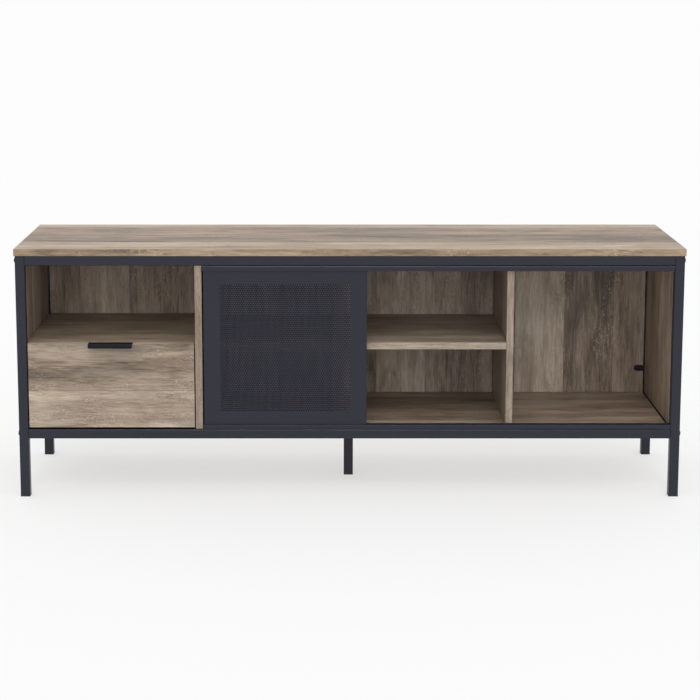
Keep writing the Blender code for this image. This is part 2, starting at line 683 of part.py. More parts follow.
def drawer():
    """A box with a front that covers the shelf above it, and a pull on the front's top edge."""
    middle_x = (DRAWER_LEFT + DRAWER_RIGHT) / 2
    carrier = rail_guide("drawer_slide", (middle_x, DRAWER_FACE, BOX_BASE))
    front = board(
        "drawer_front",
        (DRAWER_LEFT, DRAWER_FACE, DRAWER_BOTTOM),
        (DRAWER_RIGHT, DRAWER_BACK_FACE, DRAWER_TOP),
        parent=carrier,
    )
    half = PULL_LENGTH / 2 + GAP
    near = DRAWER_FACE + PULL_FIN_SETBACK - GAP
    low = (middle_x - half, near, DRAWER_TOP - PULL_FIN_DEPTH - GAP)
    slot = box_at(low, (middle_x + half, near + PULL_SHEET + 2 * GAP, DRAWER_TOP + PULL_SHEET))
    shape_with(front, "DIFFERENCE", "pull_slot", [slot])
    bent = extrusion(pull_outline(), "X", middle_x - PULL_LENGTH / 2, middle_x + PULL_LENGTH / 2)
    give_finish(object_from("drawer_pull", with_round_lip(bent)), "powder_coat", carrier)
    side_bottom = BOX_BASE + DRAWER_BASE + GAP
    side_top = side_bottom + DRAWER_SIDE_HEIGHT
    base_high = (BOX_RIGHT, BOX_REAR, BOX_BASE + DRAWER_BASE)
    board("drawer_base", (BOX_LEFT, BOX_FRONT, BOX_BASE), base_high, "grey_board", carrier)
    for side_name, left in (("left", BOX_LEFT), ("right", BOX_RIGHT - DRAWER_BOARD)):
        low = (left, BOX_FRONT, side_bottom)
        high = (left + DRAWER_BOARD, BOX_REAR, side_top)
        board(f"drawer_side_{side_name}", low, high, "grey_board", carrier)
    inner = DRAWER_BOARD + GAP
    low = (BOX_LEFT + inner, BOX_REAR - DRAWER_BOARD, side_bottom)
    board("drawer_back", low, (BOX_RIGHT - inner, BOX_REAR, side_top), "grey_board", carrier)
    drawer_slides(carrier)


def main():
    clear_scene()
    frame()
    side_bolts()
    centre_leg()
    outer_boards()
    back_panels()
    back_screws()
    inner_boards()
    tracks()
    door()
    drawer()


main()
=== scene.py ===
"""Looks of the TV stand: finishes for its boards and steel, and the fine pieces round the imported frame."""

import json
import math

import bmesh
import bpy
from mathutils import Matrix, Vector


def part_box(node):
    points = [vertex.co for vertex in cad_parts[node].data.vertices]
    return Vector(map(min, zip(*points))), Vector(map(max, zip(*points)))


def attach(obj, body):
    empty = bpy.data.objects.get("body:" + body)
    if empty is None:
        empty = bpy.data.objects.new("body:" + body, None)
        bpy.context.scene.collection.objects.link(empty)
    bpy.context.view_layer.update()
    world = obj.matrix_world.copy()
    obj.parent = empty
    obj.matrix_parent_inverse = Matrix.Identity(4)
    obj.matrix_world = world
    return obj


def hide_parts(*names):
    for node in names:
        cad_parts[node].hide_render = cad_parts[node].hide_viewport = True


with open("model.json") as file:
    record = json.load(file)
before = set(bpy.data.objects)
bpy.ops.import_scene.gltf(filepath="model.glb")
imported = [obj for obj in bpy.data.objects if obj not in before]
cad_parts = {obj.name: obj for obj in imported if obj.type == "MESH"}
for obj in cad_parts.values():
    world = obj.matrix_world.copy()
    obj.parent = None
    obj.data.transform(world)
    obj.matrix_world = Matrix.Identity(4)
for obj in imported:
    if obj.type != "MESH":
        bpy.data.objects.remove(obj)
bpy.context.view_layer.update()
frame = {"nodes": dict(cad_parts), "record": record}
TAU = 2 * math.pi

# Camera
CAMERA_BEFORE_FRAME = 4.1494  # in front of the steel frame's front plane
CAMERA_SIDE = -0.0587
CAMERA_HEIGHT = 1.2118
CAMERA_TILT = 0.1605  # radians below the level
CAMERA_LENS = 95.38  # mm, on a sensor 36 mm wide
CAMERA_SHIFT = (0.0372, -0.12)

# Studio. Each sun has its degrees above the level, its strength and its width in radians
WORLD_LIGHT = 0.97
FLOOR_REACH = 60.0  # half of its side
FLOOR_GREY = 0.37
FLOOR_GLOW = 0.55
SUNS = {"front_light": (15, 0.96, 0.9), "upper_light": (48, 0.46, 0.25)}

# Folded door and its perforated field
SHEET = 0.0015
SHEET_BEND = 0.002
BEND_STEPS = 5
SHEET_SHARP = math.radians(25)  # edges that turn further than this stay sharp
DOOR_CORNER = 0.003
HOLE_RADIUS = 0.0015
HOLE_PITCH = 0.00535
HOLE_SIDES = 12
HOLE_MARGIN = 0.036  # door's edge to the perforated field

# Tack welds between the door's tracks and the long rails
TACKS = 5
TACK_INSET = 0.012  # end of the track to the middle of the first tack
TACK_SIZE = Vector((0.0034, 0.0012, 0.0019))  # half its length, depth and height
TACK_RIPPLE = 0.08  # part of its size that its surface goes in and out
TACK_RIPPLES = 11  # radians of ripple in half its length

# Fasteners: the shank's radius, the head's height, and the recess in the head and its depth
BOLT = {"radius": 0.003, "head": 0.0027, "recess": "hexagon", "depth": 0.0016}
SCREW = {"radius": 0.00175, "head": 0.0022, "recess": "cross", "depth": 0.0012}
HEXAGON_FLAT = 0.0021  # middle of a flat to the bolt's axis
CROSS_ARM = 0.0019  # half the length of a slot
CROSS_SLOT = 0.0005  # half the width of a slot
HEAD_SIDES = 48
HEAD_RIM = 0.25  # part of a head's height below its dome
DOME_STEPS = 8  # rings that a whole dome would have, the last of which the recess takes
HEAD_SHARP = math.radians(35)

# Coats of steel: dark, pale and worn colours, how strong the gloss is, and how far edges are rounded
BLUE_BLACK = (0.0165, 0.0168, 0.0258), (0.0210, 0.0214, 0.0310), (0.10, 0.10, 0.12)
PULL_BLACK = (0.005, 0.005, 0.008), (0.009, 0.009, 0.012), (0.04, 0.04, 0.045)
FASTENER_BLACK = (0.012, 0.012, 0.014), (0.020, 0.020, 0.023), (0.07, 0.07, 0.075)
COATS = {
    "powder_coat": (BLUE_BLACK, 0.46, 0.0012),
    "door_coat": (BLUE_BLACK, 0.46, 0.0003),
    "track_coat": (BLUE_BLACK, 0.46, 0.0026),
    "pull_coat": (PULL_BLACK, 0.24, 0.0012),
    "black_fastener": (FASTENER_BLACK, 0.50, 0.0012),
}
OWN_COAT = {"drawer_pull": "pull_coat", "top_track": "track_coat", "bottom_track": "track_coat"}
COAT_ROUGHNESS = 0.14
COAT_IOR = 1.5

# How far the edges of the other finishes are rounded, and how far a rounded normal turns at a worn edge
LAMINATE_EDGE = 0.0008
PLASTIC_EDGE = 0.0008
ZINC_EDGE = 0.0006
MELAMINE_EDGE = 0.0007
EDGE_TURN = (0.02, 0.25)

# Wood print
WOOD_DARK = (0.080, 0.062, 0.048)
WOOD_BROWN = (0.158, 0.121, 0.091)
WOOD_MIDDLE = (0.252, 0.198, 0.151)
WOOD_TAN = (0.330, 0.268, 0.209)
WOOD_PALE = (0.450, 0.385, 0.315)
WOOD_RED = (0.235, 0.165, 0.125)
WOOD_GREY = (0.185, 0.171, 0.144)
WOOD_RAMP = ((0.10, WOOD_DARK), (0.32, WOOD_BROWN), (0.52, WOOD_MIDDLE), (0.72, WOOD_TAN), (0.95, WOOD_PALE))
PLANK_WIDTH = 0.122
PLANK_JOINT = 0.489  # middle of a plank to the joint's dark line, in planks
PLANK_WEIGHT = 0.42
PLANK_SPREAD = (9.0, 0.7, 0.0)  # metres of the print that the planks are taken from
BOARD_SPREAD = (1.37, 0.83, 0.29)  # from one board's place in the print to the next one's
BAND_SHIFT = (2.31, 0.47, 0.19)  # from a board's face to its edge bands, in the print
BAND_PLANKS = 2.0
FACING = 0.7  # least part of a normal along an axis for a face that looks that way

KNOT_CELLS = (1.25, 3.4, 0.0)  # cells to the metre along and across the grain, some with a knot
KNOT_SCATTER = 0.85
KNOTLESS_CELLS = 0.62  # part of the cells
KNOT_SQUEEZE = 0.42  # a knot's width over its length
KNOT_REACH = 0.034  # middle of a knot to where the grain runs straight again
KNOT_MIDDLE = 0.004  # middle of a knot to where the grain bends most
KNOT_BEND = -0.75
KNOT_CORE = (0.012, 0.003)  # where its dark core begins and is darkest
KNOT_RINGS = 1500.0  # radians of ring to the metre

# Layers of the figure: cells to the metre along and across the grain, the noise's detail, roughness and
# distortion, the noise that gives none and all of the layer, and the layer's weight in the figure
FIGURE_BASE = 0.12
FIGURE_LAYERS = {
    "bands": ((2.2, 16.0), (4.0, 0.55, 0.2), (0.32, 0.68), 0.32),
    "blotches": ((9.0, 42.0), (4.0, 0.60, 0.3), (0.34, 0.68), 0.17),
    "streaks": ((14.0, 190.0), (3.0, 0.60, 0.0), (0.34, 0.68), 0.15),
    "fibres": ((42.0, 430.0), (4.0, 0.70, 0.0), (0.30, 0.70), 0.22),
}
GRAIN_LINES = (1.3, 8.0), (2.5, 0.5, 0.2)
GRAIN_LINE_COUNT = 14.0  # lines from the lowest noise to the highest
GRAIN_LINE_POWER = 4.0
GRAIN_LINE_WEIGHT = -0.14
PATCHES = (3.0, 9.0), (3.0, 0.6, 0.4)
LINE_PATCHES = (0.40, 0.62)  # noise of the patches that gives no grain lines and all of them
PORE_PATCHES = (0.38, 0.60)
WAVER = (3.0, 6.0), (3.0, 0.55, 0.0)
WAVER_REACH = 0.012
STAINS = (
    (WOOD_RED, (4.0, 26.0), (3.0, 0.6, 0.3), (0.52, 0.72), 0.42),
    (WOOD_GREY, (6.0, 14.0), (4.0, 0.65, 0.4), (0.55, 0.72), 0.55),
)
PORES = (30.0, 620.0), (2.0, 0.5, 0.0), (0.60, 0.72)
ROUGH_SAWN = (7.0, 17.0), (3.0, 0.6, 0.4), (0.50, 0.62)
GRIT = (150.0, 300.0), (3.0, 0.72, 0.0)
SPECKS = (0.54, 0.66)  # the grit's noise where a dark speck begins and is darkest
FLECKS = (0.46, 0.36)  # the grit's noise where a pale fleck begins and is palest
FLECK_WEIGHT = 0.5
MARK_WEIGHTS = {"specks": 0.42, "pores": 0.40, "knot_core": 0.62, "knot_rings": 0.20, "joint": 0.45}
FIBRE_HEIGHT, STREAK_HEIGHT, MARK_HEIGHT = 0.35, 0.2, -0.6
LAMINATE_ROUGHNESS, FIBRE_ROUGHNESS, MARK_ROUGHNESS = 0.38, 0.10, 0.16

# Each board: which way the grain runs along, across and through it, the width of its first printed
# plank, how pale its planks are in turn, and the tint of the whole board, which is mostly painted light:
# it makes the top paler, as if lit from above, and the boards in the shade of the bays paler than their
# print
BOARDS = {
    "top_panel": ("XYZ", 0.106, (0.95, 0.10, 0.36), (1.12, 1.04, 0.93)),
    "bottom_panel": ("XYZ", 0.060, (0.70, 0.45, 0.25), (1.25, 1.22, 1.18)),
    "cubby_shelf": ("XYZ", 0.090, (0.60, 0.40, 0.50), (1.05, 1.03, 1.00)),
    "door_bay_shelf": ("XYZ", 0.070, (0.50, 0.35, 0.60), (1.00, 1.00, 1.00)),
    "middle_shelf": ("XYZ", 0.080, (0.60, 0.35, 0.50), (1.10, 1.10, 1.10)),
    "drawer_front": ("XZY", 0.086, (0.85, 0.20, 0.50), (1.08, 1.07, 1.05)),
    "left_divider": ("ZYX", 0.122, (0.80, 0.55, 0.65), (1.26, 1.24, 1.20)),
    "centre_divider": ("ZYX", 0.122, (0.50, 0.60, 0.40), (1.15, 1.15, 1.15)),
    "right_divider": ("ZYX", 0.100, (0.50, 0.45, 0.55), (0.98, 0.98, 0.98)),
    "left_side_panel": ("ZYX", 0.100, (0.40, 0.60, 0.30), (1.12, 1.10, 1.08)),
    "right_side_panel": ("ZYX", 0.080, (0.35, 0.75, 0.45), (1.22, 1.17, 1.13)),
    "back_panel_left": ("ZXY", 0.075, (0.60, 0.80, 0.30), (1.12, 1.10, 1.10)),
    "back_panel_middle": ("ZXY", 0.050, (0.45, 0.75, 0.25), (1.30, 1.32, 1.35)),
    "back_panel_right": ("ZXY", 0.048, (0.40, 0.95, 0.10), (1.16, 1.15, 1.15)),
}


class Graph:
    """Short ways to add nodes to one node tree. Most give the new node's output, ready to link."""

    def __init__(self, tree):
        self.tree = tree

    def node(self, kind, values=None, **settings):
        item = self.tree.nodes.new(f"ShaderNode{kind}")
        for name, value in settings.items():
            setattr(item, name, value)
        for name, value in (values or {}).items():
            self.set(item.inputs[name], value)
        return item

    def set(self, socket, value):
        """Links a socket to another one or gives it a value. A colour is given without its alpha."""
        if isinstance(value, bpy.types.NodeSocket):
            self.tree.links.new(value, socket)
        elif socket.type == "RGBA":
            socket.default_value = (*value, 1.0)
        else:
            socket.default_value = value

    def math(self, operation, *values, clamp=False):
        item = self.node("Math", operation=operation, use_clamp=clamp)
        for socket, value in zip(item.inputs, values):
            self.set(socket, value)
        return item.outputs[0]

    def vector(self, operation, *values, output=0):
        item = self.node("VectorMath", operation=operation)
        for socket, value in zip(item.inputs, values):
            self.set(socket, value)
        return item.outputs[output]

    def parts(self, vector):
        item = self.node("SeparateXYZ", {"Vector": vector})
        return dict(zip("XYZ", item.outputs))

    def combine(self, x, y, z):
        return self.node("CombineXYZ", {"X": x, "Y": y, "Z": z}).outputs[0]

    def noise(self, vector, detail=3.0, roughness=0.55, distortion=0.0):
        values = {"Vector": vector, "Scale": 1.0, "Detail": detail}
        values |= {"Roughness": roughness, "Distortion": distortion}
        return self.node("TexNoise", values).outputs[0]

    def stretched_noise(self, vector, stretch, detail=3.0, roughness=0.55, distortion=0.0):
        """Noise with so many cells to the metre along each direction."""
        return self.noise(self.vector("MULTIPLY", vector, stretch), detail, roughness, distortion)

    def even_noise(self, vector, cells, *noise):
        """Noise with the same number of cells to the metre every way."""
        return self.stretched_noise(vector, (cells, cells, cells), *noise)

    def grain_noise(self, vector, cells, noise):
        """Noise with its own number of cells to the metre along the grain and across it."""
        along, across = cells
        return self.stretched_noise(vector, (along, across, across), *noise)

    def layer(self, vector, cells, noise, limits, *reach):
        """Grain noise drawn out between two limits, to 0 and 1 or to its own reach."""
        return self.remap(self.grain_noise(vector, cells, noise), *limits, *reach)

    def remap(self, value, low, high, to_low=0.0, to_high=1.0):
        """A value between two limits, eased into another range."""
        values = {"Value": value, "From Min": low, "From Max": high, "To Min": to_low, "To Max": to_high}
        return self.node("MapRange", values, interpolation_type="SMOOTHSTEP").outputs[0]

    def mix(self, factor, first, second, blend_type="MIX"):
        """Mixed colours. The Mix node's colours are its inputs 6 and 7 and its output 2."""
        item = self.node("Mix", data_type="RGBA", blend_type=blend_type, clamp_factor=True)
        for index, value in ((0, factor), (6, first), (7, second)):
            self.set(item.inputs[index], value)
        return item.outputs[2]

    def mix_vectors(self, factor, first, second):
        """Mixed vectors. The Mix node's vectors are its inputs 4 and 5 and its output 1."""
        item = self.node("Mix", data_type="VECTOR")
        for index, value in ((0, factor), (4, first), (5, second)):
            self.set(item.inputs[index], value)
        return item.outputs[1]

    def product(self, first, second):
        return self.math("MULTIPLY", first, second)

    def wave(self, value):
        """A sine of a value, from 0 to 1."""
        return self.math("MULTIPLY_ADD", self.math("SINE", value), 0.5, 0.5)

    def ramp(self, factor, stops):
        item = self.node("ValToRGB", {"Fac": factor})
        elements = item.color_ramp.elements
        while len(elements) < len(stops):
            elements.new(0.5)
        for element, (position, colour) in zip(elements, stops):
            element.position = position
            element.color = (*colour, 1.0)
        return item.outputs[0]


def group(name, inputs, outputs, build):
    """A node group from a function, which takes the group's graph and inputs and gives its outputs."""
    tree = bpy.data.node_groups.new(name, "ShaderNodeTree")
    for way, sockets in (("INPUT", inputs), ("OUTPUT", outputs)):
        for label, kind in sockets.items():
            tree.interface.new_socket(label, in_out=way, socket_type=f"NodeSocket{kind}")
    results = build(Graph(tree), tree.nodes.new("NodeGroupInput").outputs)
    ends = tree.nodes.new("NodeGroupOutput").inputs
    for socket, result in zip(ends, results):
        tree.links.new(result, socket)
    return tree


def knot_field(graph, source):
    """The way from the nearest knot, how far it is, and 1 where the cell has a knot."""
    cells = graph.vector("MULTIPLY", source, KNOT_CELLS)
    values = {"Vector": cells, "Scale": 1.0, "Randomness": KNOT_SCATTER}
    knots = graph.node("TexVoronoi", values, voronoi_dimensions="2D")
    from_knot = graph.vector("SUBTRACT", cells, knots.outputs["Position"])
    to_metres = (KNOT_SQUEEZE / KNOT_CELLS[0], 1 / KNOT_CELLS[1], 0.0)
    from_knot = graph.vector("MULTIPLY", from_knot, to_metres)
    distance = graph.vector("LENGTH", from_knot, output=1)
    present = graph.math("GREATER_THAN", graph.parts(knots.outputs["Color"])["X"], KNOTLESS_CELLS)
    return from_knot, distance, present


def plank_field(graph, plank_place, tones):
    """The paleness of a plank, its random place in the print, and the joint at its sides."""
    plank = graph.math("FLOOR", plank_place)
    random_place = graph.node("TexWhiteNoise", {"W": plank}, noise_dimensions="1D").outputs["Color"]
    turn = graph.math("FLOORED_MODULO", plank, float(len(tones)))
    tone = 0.0
    for number, plank_tone in enumerate(tones.values()):
        its_turn = graph.math("COMPARE", turn, float(number), 0.5)
        tone = graph.math("MULTIPLY_ADD", plank_tone, its_turn, tone)
    joint = graph.math("ABSOLUTE", graph.math("SUBTRACT", graph.math("FRACT", plank_place), 0.5))
    return tone, random_place, graph.remap(joint, PLANK_JOINT, 0.5)


def bent_grain(graph, source, bend, random_place):
    """The place in the print, on grain that wavers and bends round knots."""
    place = graph.parts(source)
    waver = graph.product(graph.math("SUBTRACT", graph.grain_noise(source, *WAVER), 0.5), WAVER_REACH)
    across = graph.math("ADD", graph.math("ADD", place["Y"], bend), waver)
    bent = graph.combine(place["X"], across, place["Z"])
    return graph.vector("ADD", bent, graph.vector("MULTIPLY", random_place, PLANK_SPREAD))


def laminate_figure(graph, inputs):
    """Printed oak figure in planks, with knots, streaks, fibres and pores."""
    source = inputs["Vector"]
    from_knot, knot_distance, knot = knot_field(graph, source)
    near_knot = graph.product(graph.remap(knot_distance, KNOT_REACH, KNOT_MIDDLE), knot)
    bend = graph.product(graph.parts(from_knot)["Y"], graph.product(near_knot, KNOT_BEND))
    tone, random_place, joint = plank_field(graph, inputs["Plank"], graph.parts(inputs["Tones"]))
    bent = bent_grain(graph, source, bend, random_place)
    patches = graph.grain_noise(bent, *PATCHES)

    light = FIGURE_BASE
    layers = {}
    for name, (cells, noise, limits, weight) in FIGURE_LAYERS.items():
        layers[name] = graph.layer(bent, cells, noise, limits)
        light = graph.math("MULTIPLY_ADD", layers[name], weight, light)
    light = graph.math("MULTIPLY_ADD", graph.math("SUBTRACT", tone, 0.5), PLANK_WEIGHT, light)
    lines = graph.product(graph.grain_noise(bent, *GRAIN_LINES), GRAIN_LINE_COUNT * TAU)
    lines = graph.math("POWER", graph.wave(lines), GRAIN_LINE_POWER)
    lines = graph.product(lines, graph.remap(patches, *LINE_PATCHES))
    light = graph.math("MULTIPLY_ADD", lines, GRAIN_LINE_WEIGHT, light)
    colour = graph.ramp(light, WOOD_RAMP)
    for stain, cells, noise, limits, strength in STAINS:
        colour = graph.mix(graph.layer(source, cells, noise, limits, 0.0, strength), colour, stain)

    rough_sawn = graph.layer(source, *ROUGH_SAWN)
    grit = graph.grain_noise(source, *GRIT)
    flecks = graph.product(graph.remap(grit, *FLECKS), rough_sawn)
    colour = graph.mix(graph.product(flecks, FLECK_WEIGHT), colour, WOOD_PALE)
    found = {
        "specks": graph.product(graph.remap(grit, *SPECKS), rough_sawn),
        "pores": graph.product(graph.layer(bent, *PORES), graph.remap(patches, *PORE_PATCHES)),
        "knot_core": graph.product(graph.remap(knot_distance, *KNOT_CORE), knot),
        "knot_rings": graph.product(graph.wave(graph.product(knot_distance, KNOT_RINGS)), near_knot),
        "joint": joint,
    }
    marks = 0.0
    for name, weight in MARK_WEIGHTS.items():
        marks = graph.math("MULTIPLY_ADD", found[name], weight, marks, clamp=True)
    colour = graph.mix(marks, colour, WOOD_DARK)

    height = graph.product(layers["streaks"], STREAK_HEIGHT)
    height = graph.math("MULTIPLY_ADD", layers["fibres"], FIBRE_HEIGHT, height)
    height = graph.math("MULTIPLY_ADD", marks, MARK_HEIGHT, height)
    roughness = graph.math("MULTIPLY_ADD", layers["fibres"], FIBRE_ROUGHNESS, LAMINATE_ROUGHNESS)
    roughness = graph.math("MULTIPLY_ADD", marks, MARK_ROUGHNESS, roughness)
    return colour, height, roughness


def grain_vector(graph, axes, first_plank, shift):
    """Metres along, across and through a board, and the plank there. Edge bands have their own print."""
    coordinates = graph.node("TexCoord")
    place = graph.parts(coordinates.outputs["Object"])
    facing = graph.parts(coordinates.outputs["Normal"])
    along, across, through = (place[letter] for letter in axes)
    on_end, on_side = (
        graph.math("GREATER_THAN", graph.math("ABSOLUTE", facing[letter]), FACING) for letter in axes[:2]
    )
    lengthwise = graph.combine(along, across, through)
    endwise = graph.combine(across, through, along)
    vector = graph.mix_vectors(on_end, lengthwise, endwise)
    band = graph.math("ADD", on_end, on_side)
    vector = graph.vector("MULTIPLY_ADD", graph.combine(band, band, band), BAND_SHIFT, vector)
    plank = graph.math("DIVIDE", graph.math("SUBTRACT", across, first_plank), PLANK_WIDTH)
    plank = graph.math("MULTIPLY_ADD", on_side, BAND_PLANKS, plank)
    return graph.vector("ADD", vector, shift), plank


def principled(name, **values):
    """A material, its graph and its Principled shader, with plain values for the shader's sockets."""
    material = bpy.data.materials.new(name)
    material.use_nodes = True
    graph = Graph(material.node_tree)
    shader = material.node_tree.nodes["Principled BSDF"]
    for label, value in values.items():
        graph.set(shader.inputs[label.replace("_", " ")], value)
    return material, graph, shader


def bump(graph, shader, height, strength, distance, normal):
    values = {"Height": height, "Strength": strength, "Distance": distance, "Normal": normal}
    graph.set(shader.inputs["Normal"], graph.node("Bump", values).outputs[0])


def softened(graph, radius):
    """A normal that is rounded at edges, and how far it turns there, from 0 on flat faces."""
    rounded = graph.node("Bevel", {"Radius": radius}, samples=4).outputs[0]
    flat = graph.node("NewGeometry").outputs["Normal"]
    turned = graph.math("SUBTRACT", 1.0, graph.vector("DOT_PRODUCT", rounded, flat, output=1))
    return rounded, graph.remap(turned, *EDGE_TURN)


def laminate(name, number, figure):
    """Wood-grain laminate for one board, cut from its own place in the figure."""
    axes, first_plank, tones, painted_light_tint = BOARDS[name]
    material, graph, shader = principled(f"laminate_{name}", Specular_IOR_Level=0.22)
    shift = tuple(step * number for step in BOARD_SPREAD)
    first_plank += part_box(name)[0]["XYZ".index(axes[1])] - PLANK_WIDTH
    print_node = graph.node("Group", {}, node_tree=figure)
    vector, plank = grain_vector(graph, axes, first_plank, shift)
    for label, value in (("Vector", vector), ("Plank", plank), ("Tones", tones)):
        graph.set(print_node.inputs[label], value)
    rounded, edge = softened(graph, LAMINATE_EDGE)
    # Painted light: the board's tint makes the top and the shaded boards inside the bays paler than the
    # print
    colour = graph.mix(1.0, print_node.outputs["Color"], painted_light_tint, "MULTIPLY")
    graph.set(shader.inputs["Base Color"], graph.mix(graph.product(edge, 0.35), colour, WOOD_PALE))
    graph.set(shader.inputs["Roughness"], print_node.outputs["Roughness"])
    bump(graph, shader, print_node.outputs["Height"], 0.30, 0.0003, rounded)
    return material


def coat_surface(graph, inputs):
    """Fine powder coat: a slight drift in its colour, orange peel, and edges rounded and rubbed."""
    place = graph.node("TexCoord").outputs["Object"]
    colour = graph.mix(graph.even_noise(place, 3.0, 3.0), inputs["Dark"], inputs["Light"])
    grit = graph.even_noise(place, 2600.0, 2.0, 0.6)
    peel = graph.even_noise(place, 520.0, 2.0, 0.5)
    height = graph.math("MULTIPLY_ADD", grit, 0.4, graph.product(peel, 0.6))
    rounded, edge = softened(graph, inputs["Round"])
    rubbed = graph.product(edge, graph.remap(graph.even_noise(place, 60.0, 4.0, 0.65), 0.45, 0.70))
    colour = graph.mix(graph.product(rubbed, 0.5), colour, inputs["Worn"])
    handling = graph.stretched_noise(place, (14.0, 14.0, 5.0), 4.0, 0.6, 0.5)
    roughness = graph.math("MULTIPLY_ADD", handling, 0.16, 0.36)
    roughness = graph.math("MULTIPLY_ADD", rubbed, -0.10, roughness)
    return colour, height, roughness, rounded


def coated(name, surface):
    """Powder-coated steel, or the black finish of a small steel piece."""
    (dark, light, worn), gloss, edge_radius = COATS[name]
    material, graph, shader = principled(
        name, Specular_IOR_Level=0.0, Coat_Weight=gloss, Coat_Roughness=COAT_ROUGHNESS, Coat_IOR=COAT_IOR
    )
    coat = graph.node("Group", {}, node_tree=surface)
    for label, value in (("Dark", dark), ("Light", light), ("Worn", worn), ("Round", edge_radius)):
        graph.set(coat.inputs[label], value)
    graph.set(shader.inputs["Base Color"], coat.outputs["Color"])
    graph.set(shader.inputs["Roughness"], coat.outputs["Roughness"])
    bump(graph, shader, coat.outputs["Height"], 0.10, 0.0001, coat.outputs["Normal"])
    graph.set(shader.inputs["Coat Normal"], coat.outputs["Normal"])
    return material


def black_plastic():
    """Moulded plastic with a fine spark-eroded texture and scuffed edges."""
    material, graph, shader = principled("black_plastic", Specular_IOR_Level=0.4)
    place = graph.node("TexCoord").outputs["Object"]
    grain = graph.even_noise(place, 1800.0, 3.0, 0.7)
    cloud = graph.even_noise(place, 70.0, 3.0)
    rounded, edge = softened(graph, PLASTIC_EDGE)
    colour = graph.mix(cloud, (0.013, 0.013, 0.014), (0.022, 0.022, 0.023))
    colour = graph.mix(graph.product(edge, 0.4), colour, (0.07, 0.07, 0.07))
    graph.set(shader.inputs["Base Color"], colour)
    graph.set(shader.inputs["Roughness"], graph.math("MULTIPLY_ADD", cloud, 0.18, 0.48))
    bump(graph, shader, grain, 0.25, 0.00015, rounded)
    return material


def zinc_plate():
    """Bright zinc on rolled steel, with rolling marks and a faint bloom."""
    material, graph, shader = principled("zinc_plate", Metallic=1.0)
    place = graph.node("TexCoord").outputs["Object"]
    rolled = graph.stretched_noise(place, (900.0, 6.0, 900.0), 3.0)
    bloom = graph.stretched_noise(place, (34.0, 20.0, 34.0), 4.0, 0.6, 0.6)
    rounded, _ = softened(graph, ZINC_EDGE)
    graph.set(shader.inputs["Base Color"], graph.mix(bloom, (0.50, 0.50, 0.47), (0.66, 0.66, 0.65)))
    roughness = graph.math("MULTIPLY_ADD", rolled, 0.16, 0.22)
    graph.set(shader.inputs["Roughness"], graph.math("MULTIPLY_ADD", bloom, 0.12, roughness))
    bump(graph, shader, rolled, 0.08, 0.0001, rounded)
    return material


def drawer_melamine():
    """Plain grey-brown melamine with a pressed linen texture."""
    material, graph, shader = principled("drawer_melamine", Specular_IOR_Level=0.35)
    place = graph.node("TexCoord").outputs["Object"]
    warp = graph.stretched_noise(place, (2400.0, 260.0, 260.0), 2.0)
    weft = graph.stretched_noise(place, (260.0, 2400.0, 2400.0), 2.0)
    cloud = graph.even_noise(place, 9.0, 4.0, 0.6)
    linen = graph.math("ADD", warp, weft)
    colour = graph.mix(cloud, (0.205, 0.180, 0.152), (0.285, 0.252, 0.215))
    colour = graph.mix(graph.remap(linen, 0.8, 1.2, 0.0, 0.25), colour, (0.150, 0.130, 0.110))
    rounded, edge = softened(graph, MELAMINE_EDGE)
    colour = graph.mix(graph.product(edge, 0.3), colour, (0.42, 0.38, 0.33))
    graph.set(shader.inputs["Base Color"], colour)
    graph.set(shader.inputs["Roughness"], graph.math("MULTIPLY_ADD", cloud, 0.12, 0.48))
    bump(graph, shader, linen, 0.15, 0.0002, rounded)
    return material


def make_finishes():
    """Every coat, board print and other finish, by its name."""
    colour_height = {"Color": "Color", "Height": "Float", "Roughness": "Float"}
    places = {"Vector": "Vector", "Plank": "Float", "Tones": "Vector"}
    figure = group("laminate_figure", places, colour_height, laminate_figure)
    tints = {"Dark": "Color", "Light": "Color", "Worn": "Color", "Round": "Float"}
    surface = group("coat_surface", tints, colour_height | {"Normal": "Vector"}, coat_surface)
    finishes = {name: coated(name, surface) for name in COATS}
    finishes["black_plastic"] = black_plastic()
    finishes["zinc_slide"] = zinc_plate()
    finishes["drawer_board"] = drawer_melamine()
    for number, name in enumerate(BOARDS):
        finishes[name] = laminate(name, number + 1, figure)
    return finishes


def dress_frame(finishes):
    """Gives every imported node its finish: a board's print, its own coat, or that of its material slot."""
    for row in frame["record"]["subparts"]:
        name = row["node"]
        finish = name if name in BOARDS else OWN_COAT.get(name, row["material_slot"])
        materials = frame["nodes"][name].data.materials
        materials.clear()
        materials.append(finishes[finish])


def new_piece(name, build, material, body, stands_for=()):
    """An object from a mesh under construction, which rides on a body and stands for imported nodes."""
    mesh = bpy.data.meshes.new(name)
    bmesh.ops.recalc_face_normals(build, faces=build.faces[:])
    build.to_mesh(mesh)
    build.free()
    item = bpy.data.objects.new(name, mesh)
    bpy.context.scene.collection.objects.link(item)
    mesh.materials.append(material)
    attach(item, body)
    if stands_for:
        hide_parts(*stands_for)
    return item


def rounded_rectangle(low, high, inset, radius, steps=4):
    """Points of a rectangle with round corners, from two corners given as (x, z)."""
    points = []
    corners = ((high[0], high[1], 0), (low[0], high[1], 1), (low[0], low[1], 2), (high[0], low[1], 3))
    for x, z, quarter in corners:
        centre_x = x - math.copysign(inset + radius, x - (low[0] + high[0]) / 2)
        centre_z = z - math.copysign(inset + radius, z - (low[1] + high[1]) / 2)
        for step in range(steps + 1):
            angle = TAU / 4 * (quarter + step / steps)
            points.append((centre_x + radius * math.cos(angle), centre_z + radius * math.sin(angle)))
    return points


def loop_of(build, points, y):
    """Corners of a loop across the depth of the stand, from points given as (x, z)."""
    return [build.verts.new((x, y, z)) for x, z in points]


def ring_edges(build, ring):
    return [build.edges.new((ring[index - 1], vert)) for index, vert in enumerate(ring)]


def bridge(build, first, second):
    for index in range(len(first)):
        build.faces.new((first[index - 1], first[index], second[index], second[index - 1]))


